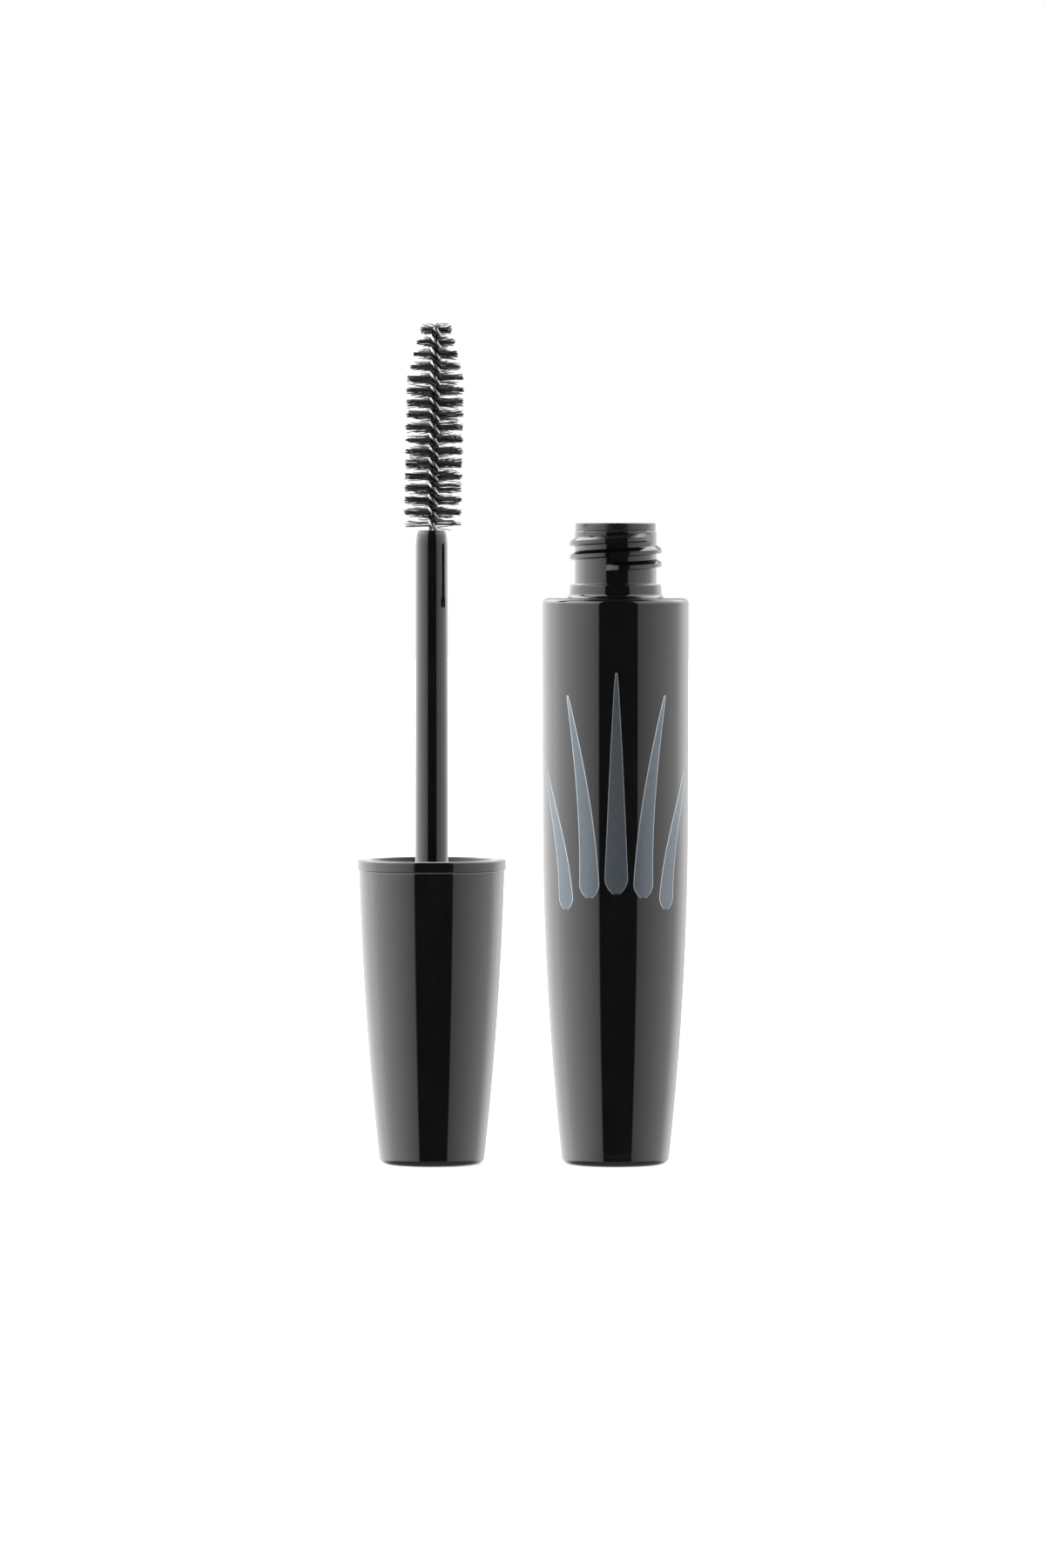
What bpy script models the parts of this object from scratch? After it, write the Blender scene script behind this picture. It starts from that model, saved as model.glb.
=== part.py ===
"""Mascara tube, open: the bottle stands on its base, and beside it the applicator
stands upside down on the top of its cap, brush up. Metres, +Z up, origin at the
centre of the bottle's base. The applicator's axis is at x = -AXIS_GAP."""

import math

import bmesh
import bpy

MM = 0.001
COLLECTION = "mascara_tube"

# Bottle, heights above its base
BOTTLE_RADIUS = 10.12 * MM
WAIST_RADIUS = 10.05 * MM
WAIST_HEIGHT = 48.0 * MM
BASE_TAPER = 2.7 * MM
BASE_ROUND = 1.0 * MM
SHOULDER_HEIGHT = 77.9 * MM
SHOULDER_ROUND = 0.8 * MM
WALL = 1.4 * MM
FLOOR_THICKNESS = 1.9 * MM
COLLAR_RADIUS = 6.28 * MM
COLLAR_FLARE = 0.1 * MM
COLLAR_TOP = 79.8 * MM
NECK_RADIUS = 5.65 * MM
NECK_TOP = 86.95 * MM
NECK_BORE = 4.4 * MM

INNER_CHAMFER = 1.2 * MM
COLLAR_ROUND = 0.2 * MM
COLLAR_FILLET = 0.68 * MM
LIP_ROUND = 0.15 * MM

# Screw thread of the neck, right-handed
THREAD_PITCH = 1.88 * MM
THREAD_DEPTH = 0.73 * MM
THREAD_ROOT = 1.1 * MM
THREAD_CREST = 0.45 * MM
THREAD_START = 82.0 * MM
THREAD_START_ANGLE = math.radians(256.6)
THREAD_SWEEP = math.radians(793.4)
THREAD_RUN_IN = math.radians(48)
THREAD_BLUNT_END = math.radians(17)
ENDS_BURIED = 0.25
RIDGE_OVERLAP = 0.4
THREAD_STEP = math.radians(11.25)

# Wiper, the insert in the neck
MOUTH_HEIGHT = 88.2 * MM
WIPER_FLANGE = 1.1 * MM
WIPER_FLANGE_RADIUS = 5.5 * MM
WIPER_SLEEVE = 4.25 * MM
WIPER_WALL = 0.6 * MM
WIPER_CONE_TOP = 77.0 * MM
WIPER_TIP = 73.0 * MM
WIPER_ORIFICE = 2.42 * MM
WIPER_LIP = 0.35 * MM
WIPER_ROUND = 0.25 * MM

# Applicator, heights above the top of its cap, which it stands on
AXIS_GAP = 25.3 * MM
CAP_HEIGHT = 41.9 * MM
CAP_TOP_RADIUS = 7.2 * MM
CAP_MOUTH_RADIUS = 10.06 * MM
CAP_BARREL = 0.42 * MM
CAP_WALL = 1.15 * MM
CAP_ROUND = 1.0 * MM
CAP_TOP_THICKNESS = 1.5 * MM
CAP_CHAMFER = 0.9 * MM
BAND_HEIGHT = 1.5 * MM
BAND_RADIUS = 10.25 * MM
BAND_BEVEL = 0.18 * MM
MOUTH_OPENING = 8.3 * MM
MOUTH_DEPTH = 2.0 * MM
GROOVE = 0.25 * MM
LINER_SKIRT_END = 35.4 * MM
LINER_STEP = 0.8 * MM
LINER_TUBE = 7.9 * MM
LINER_DRAFT = 0.4 * MM
LINER_BORE = 6.7 * MM
CAP_THREAD_ANGLE = math.radians(-360)
CAP_THREAD_SWEEP = math.radians(540)
CAP_THREAD_ROOT = 0.6 * MM
CAP_THREAD_CREST = 0.3 * MM
LINER_FLOOR = 30.6 * MM
LINER_UNDERSIDE = 29.2 * MM
BOSS_RADIUS = 3.6 * MM
BOSS_END = 20.5 * MM
SHANK_BORE = 2.05 * MM

# Fit between pieces that touch, and between cap and bottle when closed
GAP = 0.15 * MM
SKIRT_GAP = 0.2 * MM
CLOSED_HEIGHT = 120.1 * MM

SEAL_THICKNESS = 1.0 * MM
SEAL_RADIUS = 6.4 * MM
SEAL_HOLE = 3.0 * MM
SEAL_BEVEL = 0.12 * MM

# Stem, wire and bristles
STEM_RADIUS = 2.3 * MM
STEM_TIP_RADIUS = 2.2 * MM
STEM_TOP = 87.2 * MM
STEM_NOSE = 0.27 * MM
STEM_NOSE_LENGTH = 2.6 * MM
STEM_NOSE_ROUND = 0.2 * MM
STEM_FLANGE = 2.75 * MM
STEM_FLANGE_HEIGHT = 0.9 * MM
SHANK_RADIUS = 1.9 * MM
SHANK_CHAMFER = 0.4 * MM
WIRE_HOLE = 0.82 * MM
WIRE_HOLE_END = 79.6 * MM
STRAND_RADIUS = 0.35 * MM
STRAND_OFFSET = 0.41 * MM
WIRE_BOTTOM = 80.6 * MM
WIRE_TOP = 115.4 * MM
TWIST_PITCH = 3.34 * MM
TWIST_ANGLE = math.radians(313)
BRISTLE_BOTTOM = 87.6 * MM
BRISTLE_TURNS = 8
BRISTLE_RADIUS = 4.05 * MM
BRISTLE_INNER = 0.66 * MM
BRISTLE_THICKNESS = 0.5 * MM
BRISTLE_TAPER_START = 107.6 * MM
BRISTLE_END_RADIUS = 2.15 * MM
BRISTLE_TIP_CURVE = 1.1
BRISTLE_SPLIT = math.radians(12)

# Facets round a circle
FINE = 48
MEDIUM = 32
COARSE = 24
STEPS_PER_TWIST = 8
BRISTLE_STEPS = 12


def clear_scene():
    for old in list(bpy.data.objects):
        bpy.data.objects.remove(old, do_unlink=True)


def make_material(name, colour, roughness, metallic=0.0):
    material = bpy.data.materials.new(name)
    material.use_nodes = True
    shader = material.node_tree.nodes["Principled BSDF"]
    shader.inputs["Base Color"].default_value = (*colour, 1.0)
    shader.inputs["Roughness"].default_value = roughness
    shader.inputs["Metallic"].default_value = metallic
    material.diffuse_color = (*colour, 1.0)
    return material


def arc(centre_x, centre_z, radius, start, end, count):
    """Points (x, z) on an arc from angle start to angle end, in degrees."""
    points = []
    for i in range(count):
        angle = math.radians(start + (end - start) * i / (count - 1))
        points.append((centre_x + radius * math.cos(angle), centre_z + radius * math.sin(angle)))
    return points


def spread(start, end, count):
    """Even places between start and end, without either."""
    return [start + (end - start) * i / (count + 1) for i in range(1, count + 1)]


def link(name, mesh, collection, material):
    body = bpy.data.objects.new(name, mesh)
    collection.objects.link(body)
    mesh.materials.append(material)
    return body


def turned(name, profile, steps, collection, material, closed=False):
    """A solid of revolution about Z. The profile runs down its outer side."""
    edges = [(i, i + 1) for i in range(len(profile) - 1)]
    if closed:
        edges.append((len(profile) - 1, 0))
    mesh = bpy.data.meshes.new(name)
    mesh.from_pydata([(x, 0.0, z) for x, z in profile], edges, [])
    body = link(name, mesh, collection, material)
    screw = body.modifiers.new("turn", "SCREW")
    screw.steps = steps
    screw.render_steps = steps
    screw.use_merge_vertices = True
    screw.merge_threshold = 0.00001
    screw.use_smooth_shade = True
    return body


def helical_solid(name, sections, collection, material):
    """A closed loft through sections, each a list of (x, y, z) corners."""
    shape = bmesh.new()
    rings = [[shape.verts.new(corner) for corner in section] for section in sections]
    for lower, upper in zip(rings, rings[1:]):
        for i in range(len(lower)):
            j = (i + 1) % len(lower)
            shape.faces.new((lower[i], lower[j], upper[j], upper[i]))
    shape.faces.new(rings[0])
    shape.faces.new(list(reversed(rings[-1])))
    bmesh.ops.recalc_face_normals(shape, faces=shape.faces)
    mesh = bpy.data.meshes.new(name)
    shape.to_mesh(mesh)
    shape.free()
    return link(name, mesh, collection, material)


def ring_point(radius, angle, height):
    return (radius * math.cos(angle), radius * math.sin(angle), height)


def thread_sections(root, crest, root_width, crest_width, start, first_angle, sweep, run_in):
    """Trapezoids along a right-handed helix. Their crest dives under the root at both
    ends: slowly over the angle run_in at the far end, and blunt at the near one."""
    count = round(sweep / THREAD_STEP)
    sections = []
    for i in range(count + 1):
        turned_by = sweep * i / count
        angle = first_angle + turned_by
        height = start + THREAD_PITCH * turned_by / math.tau
        rise = min(1.0, (sweep - turned_by) / run_in, turned_by / THREAD_BLUNT_END) - ENDS_BURIED
        rise = rise / (1 - ENDS_BURIED)
        top = root + (crest - root) * rise
        buried = root - RIDGE_OVERLAP * (crest - root)
        sections.append([
            ring_point(buried, angle, height - root_width / 2),
            ring_point(top, angle, height - crest_width / 2),
            ring_point(top, angle, height + crest_width / 2),
            ring_point(buried, angle, height + root_width / 2),
        ])
    return sections


def join_ridge(body, ridge):
    """Unites a thread's ridge, kept as a hidden guide, with the body it stands on."""
    ridge.hide_render = True
    ridge.display_type = "WIRE"
    union = body.modifiers.new("thread", "BOOLEAN")
    union.operation = "UNION"
    union.object = ridge


def bottle_outer(height):
    """Radius of the bottle's side: a slow taper above the waist, a curved one below."""
    if height >= WAIST_HEIGHT:
        share = (height - WAIST_HEIGHT) / (SHOULDER_HEIGHT - WAIST_HEIGHT)
        return WAIST_RADIUS + (BOTTLE_RADIUS - WAIST_RADIUS) * share
    return WAIST_RADIUS - BASE_TAPER * (1 - height / WAIST_HEIGHT) ** 2


def make_bottle(parts, guides, plastic):
    inner_low = FLOOR_THICKNESS + INNER_CHAMFER
    inner_high = SHOULDER_HEIGHT - WALL - INNER_CHAMFER
    base_radius = bottle_outer(BASE_ROUND) - BASE_ROUND
    shoulder_radius = BOTTLE_RADIUS - SHOULDER_ROUND
    flare = COLLAR_RADIUS + COLLAR_FLARE + COLLAR_FILLET
    profile = [(0.0, FLOOR_THICKNESS), (bottle_outer(inner_low) - WALL - INNER_CHAMFER, FLOOR_THICKNESS)]
    for height in (inner_low, *spread(inner_low, WAIST_HEIGHT, 4), WAIST_HEIGHT, inner_high):
        profile.append((bottle_outer(height) - WALL, height))
    profile += [(NECK_BORE, SHOULDER_HEIGHT - WALL), (NECK_BORE, NECK_TOP)]
    profile += arc(NECK_RADIUS - LIP_ROUND, NECK_TOP - LIP_ROUND, LIP_ROUND, 90, 0, 2)
    profile += [(NECK_RADIUS, COLLAR_TOP)]
    profile += arc(COLLAR_RADIUS - COLLAR_ROUND, COLLAR_TOP - COLLAR_ROUND, COLLAR_ROUND, 90, 0, 3)
    profile += arc(flare, SHOULDER_HEIGHT + COLLAR_FILLET, COLLAR_FILLET, 180, 270, 4)
    profile += arc(shoulder_radius, SHOULDER_HEIGHT - SHOULDER_ROUND, SHOULDER_ROUND, 90, 0, 5)
    for height in (WAIST_HEIGHT, *spread(WAIST_HEIGHT, BASE_ROUND, 8)):
        profile.append((bottle_outer(height), height))
    profile += arc(base_radius, BASE_ROUND, BASE_ROUND, 0, -90, 5)
    profile += [(0.0, 0.0)]
    bottle = turned("bottle", profile, FINE, parts, plastic)
    sections = thread_sections(
        NECK_RADIUS, NECK_RADIUS + THREAD_DEPTH, THREAD_ROOT, THREAD_CREST,
        THREAD_START, THREAD_START_ANGLE, THREAD_SWEEP, THREAD_RUN_IN)
    join_ridge(bottle, helical_solid("neck_thread_ridge", sections, guides, plastic))


def make_wiper(parts, plastic):
    flange_low = MOUTH_HEIGHT - WIPER_FLANGE
    inside = WIPER_SLEEVE - WIPER_WALL
    profile = [(inside + WIPER_LIP, MOUTH_HEIGHT)]
    profile += arc(WIPER_FLANGE_RADIUS - WIPER_ROUND, MOUTH_HEIGHT - WIPER_ROUND, WIPER_ROUND, 90, 0, 4)
    profile += [(WIPER_FLANGE_RADIUS, flange_low), (WIPER_SLEEVE, flange_low)]
    profile += [(WIPER_SLEEVE, WIPER_CONE_TOP), (WIPER_ORIFICE + WIPER_LIP, WIPER_TIP)]
    profile += [(WIPER_ORIFICE, WIPER_TIP), (WIPER_ORIFICE, WIPER_TIP + WIPER_LIP)]
    profile += [(inside, WIPER_CONE_TOP), (inside, MOUTH_HEIGHT - WIPER_LIP)]
    turned("wiper", profile, MEDIUM, parts, plastic, closed=True)


def cap_outer(height):
    """Radius of the cap's side: a straight taper with a slight barrel."""
    share = height / (CAP_HEIGHT - BAND_HEIGHT)
    straight = CAP_TOP_RADIUS + (CAP_MOUTH_RADIUS - CAP_TOP_RADIUS) * share
    return straight + CAP_BARREL * 4 * share * (1 - share)


def make_overcap(parts, holder, plastic):
    rim = CAP_HEIGHT - BAND_HEIGHT - GROOVE
    top_radius = cap_outer(CAP_ROUND) - CAP_ROUND
    inner_low = CAP_TOP_THICKNESS + CAP_CHAMFER
    # The profile starts at the middle of the inner floor and climbs the inside first
    profile = [(0.0, CAP_TOP_THICKNESS)]
    profile += [(cap_outer(inner_low) - CAP_WALL - CAP_CHAMFER, CAP_TOP_THICKNESS)]
    for height in (inner_low, *spread(inner_low, rim, 3), rim):
        profile.append((cap_outer(height) - CAP_WALL, height))
    profile += arc(cap_outer(rim) - LIP_ROUND, rim - LIP_ROUND, LIP_ROUND, 90, 0, 2)
    profile += [(cap_outer(height), height) for height in spread(rim, CAP_ROUND, 7)]
    profile += arc(top_radius, CAP_ROUND, CAP_ROUND, 0, -90, 5)
    profile += [(0.0, 0.0)]
    turned("overcap", profile, FINE, parts, plastic).parent = holder


def make_liner(parts, guides, holder, plastic):
    rim = CAP_HEIGHT
    band_low = rim - BAND_HEIGHT
    skirt_top = cap_outer(band_low) - CAP_WALL - SKIRT_GAP
    skirt_low = cap_outer(LINER_SKIRT_END) - CAP_WALL - SKIRT_GAP
    profile = [(MOUTH_OPENING + BAND_BEVEL, rim), (BAND_RADIUS - BAND_BEVEL, rim)]
    profile += [(BAND_RADIUS, rim - BAND_BEVEL), (BAND_RADIUS, band_low + BAND_BEVEL)]
    profile += [(BAND_RADIUS - BAND_BEVEL, band_low), (skirt_top, band_low)]
    profile += [(skirt_low, LINER_SKIRT_END), (LINER_TUBE, LINER_SKIRT_END - LINER_STEP)]
    profile += [(LINER_TUBE - LINER_DRAFT, LINER_UNDERSIDE), (BOSS_RADIUS, LINER_UNDERSIDE)]
    profile += [(BOSS_RADIUS - LINER_DRAFT, BOSS_END), (SHANK_BORE, BOSS_END)]
    profile += [(SHANK_BORE, LINER_FLOOR), (LINER_BORE, LINER_FLOOR)]
    profile += [(LINER_BORE, rim - MOUTH_DEPTH), (MOUTH_OPENING, rim - MOUTH_DEPTH + LINER_DRAFT)]
    profile += [(MOUTH_OPENING, rim - BAND_BEVEL)]
    liner = turned("cap_liner", profile, FINE, parts, plastic, closed=True)
    liner.parent = holder
    # Half a pitch from the neck's thread when the cap is on: the applicator is then
    # turned over, which takes an angle a to pi - a and a height h to CLOSED_HEIGHT - h
    phase = CLOSED_HEIGHT - THREAD_START + THREAD_PITCH * (THREAD_START_ANGLE / math.tau - 1)
    start = phase + THREAD_PITCH * CAP_THREAD_ANGLE / math.tau
    sections = thread_sections(
        LINER_BORE, LINER_BORE - THREAD_DEPTH, CAP_THREAD_ROOT, CAP_THREAD_CREST,
        start, CAP_THREAD_ANGLE, CAP_THREAD_SWEEP, THREAD_RUN_IN)
    ridge = helical_solid("cap_thread_ridge", sections, guides, plastic)
    ridge.parent = holder
    join_ridge(liner, ridge)


def make_sealing_ring(parts, holder, rubber):
    low = LINER_FLOOR + GAP
    high = low + SEAL_THICKNESS
    inset = SEAL_RADIUS - SEAL_BEVEL
    profile = [(SEAL_HOLE, high), (inset, high), (SEAL_RADIUS, high - SEAL_BEVEL)]
    profile += [(SEAL_RADIUS, low + SEAL_BEVEL), (inset, low), (SEAL_HOLE, low)]
    turned("sealing_ring", profile, MEDIUM, parts, rubber, closed=True).parent = holder


def make_stem(parts, holder, plastic):
    foot = BOSS_END - SHANK_CHAMFER
    flange_low = LINER_FLOOR + GAP
    flange_high = flange_low + STEM_FLANGE_HEIGHT
    tip = STEM_TIP_RADIUS - STEM_NOSE - STEM_NOSE_ROUND
    profile = [(0.0, WIRE_HOLE_END), (WIRE_HOLE, WIRE_HOLE_END), (WIRE_HOLE, STEM_TOP)]
    profile += arc(tip, STEM_TOP - STEM_NOSE_ROUND, STEM_NOSE_ROUND, 90, 0, 4)
    for share in (0.25, 0.5, 1.0):
        height = STEM_TOP - STEM_NOSE_LENGTH * share
        profile.append((STEM_TIP_RADIUS - STEM_NOSE * (1 - share) ** 2, height))
    profile += [(STEM_RADIUS, flange_high), (STEM_FLANGE, flange_high)]
    profile += [(STEM_FLANGE, flange_low), (SHANK_RADIUS, flange_low)]
    profile += [(SHANK_RADIUS, foot + SHANK_CHAMFER), (SHANK_RADIUS - SHANK_CHAMFER, foot), (0.0, foot)]
    turned("stem", profile, COARSE, parts, plastic).parent = holder


def twist(height):
    """Angle of the wire's first strand: a left-handed twist."""
    return TWIST_ANGLE - math.tau * (height - BRISTLE_BOTTOM) / TWIST_PITCH


def make_wire(parts, holder, steel):
    """One wire folded in half and twisted: up one strand's helix from the tip, round
    the fold inside the stem, and back up the other."""
    steps = round((WIRE_TOP - WIRE_BOTTOM) / TWIST_PITCH * STEPS_PER_TWIST)
    heights = [WIRE_BOTTOM + (WIRE_TOP - WIRE_BOTTOM) * i / steps for i in range(steps + 1)]
    down = [ring_point(STRAND_OFFSET, twist(height), height) for height in reversed(heights)]
    fold_angle = twist(WIRE_BOTTOM)
    fold = []
    for i in range(1, 4):
        across = STRAND_OFFSET * math.cos(math.pi * i / 4)
        drop = STRAND_OFFSET * math.sin(math.pi * i / 4)
        fold.append((across * math.cos(fold_angle), across * math.sin(fold_angle), WIRE_BOTTOM - drop))
    up = [ring_point(STRAND_OFFSET, twist(height) + math.pi, height) for height in heights[:-1]]
    curve = bpy.data.curves.new("wire_core", "CURVE")
    curve.dimensions = "3D"
    curve.bevel_depth = STRAND_RADIUS
    curve.bevel_resolution = 2
    curve.use_fill_caps = True
    spline = curve.splines.new("POLY")
    route = down + fold + up
    spline.points.add(len(route) - 1)
    for point, place in zip(spline.points, route):
        point.co = (*place, 1.0)
    link("wire_core", curve, parts, steel).parent = holder


def bristle_outer(height):
    """Radius of the brush: straight, then tapering in to its tip."""
    if height <= BRISTLE_TAPER_START:
        return BRISTLE_RADIUS
    end = BRISTLE_BOTTOM + BRISTLE_TURNS * TWIST_PITCH
    share = (height - BRISTLE_TAPER_START) / (end - BRISTLE_TAPER_START)
    return BRISTLE_RADIUS + (BRISTLE_END_RADIUS - BRISTLE_RADIUS) * share ** BRISTLE_TIP_CURVE


def make_bristles(parts, holder, nylon):
    """Each bundle is one turn of one of the two blades that the fibres form."""
    half = BRISTLE_THICKNESS / 2
    for turn in range(BRISTLE_TURNS):
        for side, offset in (("a", math.pi / 2), ("b", -math.pi / 2)):
            sections = []
            for i in range(BRISTLE_STEPS + 1):
                swept = BRISTLE_SPLIT / 2 + (math.tau - BRISTLE_SPLIT) * i / BRISTLE_STEPS
                height = BRISTLE_BOTTOM + TWIST_PITCH * (turn + swept / math.tau)
                angle = twist(height) + offset
                outer = bristle_outer(height)
                sections.append([
                    ring_point(BRISTLE_INNER, angle, height - half),
                    ring_point(outer, angle, height - half),
                    ring_point(outer, angle, height + half),
                    ring_point(BRISTLE_INNER, angle, height + half),
                ])
            name = f"bristle_bundle_{turn + 1:02d}{side}"
            helical_solid(name, sections, parts, nylon).parent = holder


def main():
    clear_scene()
    parts = bpy.data.collections.new(COLLECTION)
    guides = bpy.data.collections.new("thread_guides")
    for collection in (parts, guides):
        bpy.context.scene.collection.children.link(collection)

    gloss_black = make_material("gloss_black_plastic", (0.004, 0.004, 0.0045), 0.06)
    liner_black = make_material("liner_black_plastic", (0.005, 0.005, 0.0055), 0.1)
    wiper_black = make_material("wiper_black_plastic", (0.008, 0.008, 0.0085), 0.25)
    stem_black = make_material("stem_black_plastic", (0.005, 0.005, 0.0055), 0.1)
    seal_white = make_material("seal_rubber", (0.55, 0.55, 0.53), 0.7)
    steel = make_material("twisted_steel", (0.62, 0.62, 0.64), 0.25, 1.0)
    nylon = make_material("bristle_nylon", (0.006, 0.006, 0.0065), 0.45)

    make_bottle(parts, guides, gloss_black)
    make_wiper(parts, wiper_black)

    holder = bpy.data.objects.new("applicator_axis", None)
    parts.objects.link(holder)
    holder.location = (-AXIS_GAP, 0.0, 0.0)
    make_overcap(parts, holder, gloss_black)
    make_liner(parts, guides, holder, liner_black)
    make_sealing_ring(parts, holder, seal_white)
    make_stem(parts, holder, stem_black)
    make_wire(parts, holder, steel)
    make_bristles(parts, holder, nylon)


main()
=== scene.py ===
"""Looks of an open mascara: the bottle standing, and beside it the applicator on its
cap, brush up. Metres, +Z up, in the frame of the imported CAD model."""

import math
import random

import bmesh
import bpy
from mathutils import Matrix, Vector


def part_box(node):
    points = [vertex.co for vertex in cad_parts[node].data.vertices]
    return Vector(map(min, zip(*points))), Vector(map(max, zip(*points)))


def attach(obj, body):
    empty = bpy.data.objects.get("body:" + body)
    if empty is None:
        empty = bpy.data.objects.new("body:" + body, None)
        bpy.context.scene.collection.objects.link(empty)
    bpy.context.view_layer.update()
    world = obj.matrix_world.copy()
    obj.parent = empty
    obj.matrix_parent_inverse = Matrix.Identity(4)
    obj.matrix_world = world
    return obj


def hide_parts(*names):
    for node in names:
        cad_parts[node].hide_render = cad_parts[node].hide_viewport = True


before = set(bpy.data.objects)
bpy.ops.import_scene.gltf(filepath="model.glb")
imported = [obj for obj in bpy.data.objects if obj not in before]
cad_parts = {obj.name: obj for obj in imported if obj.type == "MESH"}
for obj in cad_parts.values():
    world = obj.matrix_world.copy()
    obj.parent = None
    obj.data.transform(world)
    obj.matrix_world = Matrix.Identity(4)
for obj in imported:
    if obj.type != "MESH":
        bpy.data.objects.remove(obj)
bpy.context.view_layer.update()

MM = 0.001
FRONT = math.radians(270)

# Places read from the CAD
BOTTLE_LOW, BOTTLE_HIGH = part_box("bottle")
WIPER_LOW, WIPER_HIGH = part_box("wiper")
CAP_LOW, CAP_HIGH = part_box("overcap")
LINER_LOW, LINER_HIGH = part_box("cap_liner")
SEAL_LOW, SEAL_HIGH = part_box("sealing_ring")
BUNDLE_LOW, BUNDLE_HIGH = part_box("bristle_bundle_01a")
STEM_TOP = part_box("stem")[1].z
WIRE_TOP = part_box("wire_core")[1].z
CAP_X = (CAP_LOW.x + CAP_HIGH.x) / 2

# Bottle, as in the CAD
BOTTLE_RADIUS = (BOTTLE_HIGH.x - BOTTLE_LOW.x) / 2
WAIST_RADIUS = BOTTLE_RADIUS - 0.07 * MM
WAIST_HEIGHT = 48.0 * MM
BASE_TAPER = 2.7 * MM
BASE_ROUND = 1.0 * MM
SHOULDER_HEIGHT = 77.9 * MM
SHOULDER_ROUND = 0.8 * MM
SHOULDER_SEAM = 9.2 * MM
WALL = 1.4 * MM
FLOOR_THICKNESS = 1.9 * MM
INNER_FLOOR_RADIUS = 4.0 * MM
COLLAR_RADIUS = 6.28 * MM
COLLAR_FLARE = 0.1 * MM
COLLAR_FILLET = 0.68 * MM
COLLAR_TOP = 79.8 * MM
COLLAR_ROUND = 0.2 * MM
NECK_RADIUS = 5.65 * MM
NECK_BORE = 4.4 * MM
NECK_CLEARANCE = 0.15 * MM
CLOSED_HEIGHT = 120.1 * MM
FOOT_WIDTH = 0.6 * MM

# Wiper, as in the CAD
WIPER_FLANGE = 1.1 * MM
WIPER_SLEEVE = 4.25 * MM
WIPER_BORE = 3.65 * MM
WIPER_CONE_TOP = 77.0 * MM
WIPER_TIP = 73.0 * MM
WIPER_TIP_RADIUS = 2.8 * MM
WIPER_ORIFICE = 2.42 * MM
WIPER_LIP = 0.4 * MM

# The neck's thread, and the rows of its mesh
THREAD_PITCH = 1.88 * MM
THREAD_DEPTH = 0.73 * MM
THREAD_START = 82.0 * MM
THREAD_ANGLE = math.radians(256.6)
THREAD_SWEEP = math.radians(793.4)
THREAD_BLUNT_END = math.radians(17)
THREAD_RUN_OUT = math.radians(48)
THREAD_ROW = THREAD_PITCH / 40
THREAD_CREST_ROWS = 11
THREAD_UPPER_ROWS = 11
THREAD_LOWER_ROWS = 4
NECK_FILLET = 0.15 * MM
NECK_LOW = COLLAR_TOP + NECK_FILLET
NECK_ROUND = 0.12 * MM
NECK_HIGH = WIPER_HIGH.z - WIPER_FLANGE - NECK_CLEARANCE

# Cap and liner, as in the CAD
CAP_MOUTH_RADIUS = 10.06 * MM
CAP_TOP_RADIUS = 7.2 * MM
CAP_BARREL = 0.42 * MM
CAP_WALL = 1.15 * MM
CAP_GROOVE = 0.01 * MM
CAP_EDGE_ROUND = 0.01 * MM
CAP_TOP_THICKNESS = 1.5 * MM
CAP_TOP_ROUND = 1.0 * MM
BAND_RADIUS = (LINER_HIGH.x - LINER_LOW.x) / 2
BAND_TOP = LINER_HIGH.z
BAND_HEIGHT = 1.5 * MM
MOUTH_OPENING = 8.3 * MM
MOUTH_DEPTH = 2.0 * MM
LINER_BORE = 6.7 * MM
LINER_FLOOR = 30.6 * MM
LINER_UNDERSIDE = 29.2 * MM
LINER_SKIRT_END = 35.4 * MM
LINER_TUBE = 7.9 * MM
LINER_THREAD_SWEEP = math.radians(540)
LINER_THREAD_CREST = 0.2 * MM
LINER_THREAD_FLANK = 0.18 * MM
SOCKET_END = 20.5 * MM
SOCKET_BORE = 2.05 * MM
SEAL_HOLE = 3.0 * MM

# Rod, as in the CAD
STEM_RADIUS = 2.3 * MM
STEM_TIP_RADIUS = 2.2 * MM
STEM_NOSE = 0.27 * MM
STEM_NOSE_LENGTH = 2.6 * MM
STEM_NOSE_ROUND = 0.2 * MM
STEM_ROOT = 31.9 * MM
STEM_FLANGE = 2.75 * MM
STEM_FLANGE_LOW = 30.75 * MM
SHANK_RADIUS = 1.9 * MM
SHANK_END = 20.1 * MM
SHANK_CHAMFER = 0.4 * MM
WIRE_HOLE = 0.82 * MM
WIRE_HOLE_END = 79.6 * MM


# ---------------------------------------------------------------- materials


def shader_of(material):
    return material.node_tree.nodes["Principled BSDF"]


def new_material(name, roughness, metallic=0.0, **inputs):
    material = bpy.data.materials.new(name)
    material.use_nodes = True
    shader = shader_of(material)
    shader.inputs["Roughness"].default_value = roughness
    shader.inputs["Metallic"].default_value = metallic
    for socket, value in inputs.items():
        shader.inputs[socket.replace("_", " ")].default_value = value
    return material


def add_noise(material, scale, detail=3.0, stretch=(1.0, 1.0, 1.0)):
    """A noise texture fixed to the piece. Scale is in features per metre."""
    tree = material.node_tree
    coords = tree.nodes.new("ShaderNodeTexCoord")
    mapping = tree.nodes.new("ShaderNodeMapping")
    mapping.inputs["Scale"].default_value = stretch
    noise = tree.nodes.new("ShaderNodeTexNoise")
    noise.inputs["Scale"].default_value = scale
    noise.inputs["Detail"].default_value = detail
    tree.links.new(coords.outputs["Object"], mapping.inputs["Vector"])
    tree.links.new(mapping.outputs["Vector"], noise.inputs["Vector"])
    return noise.outputs["Fac"]


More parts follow.
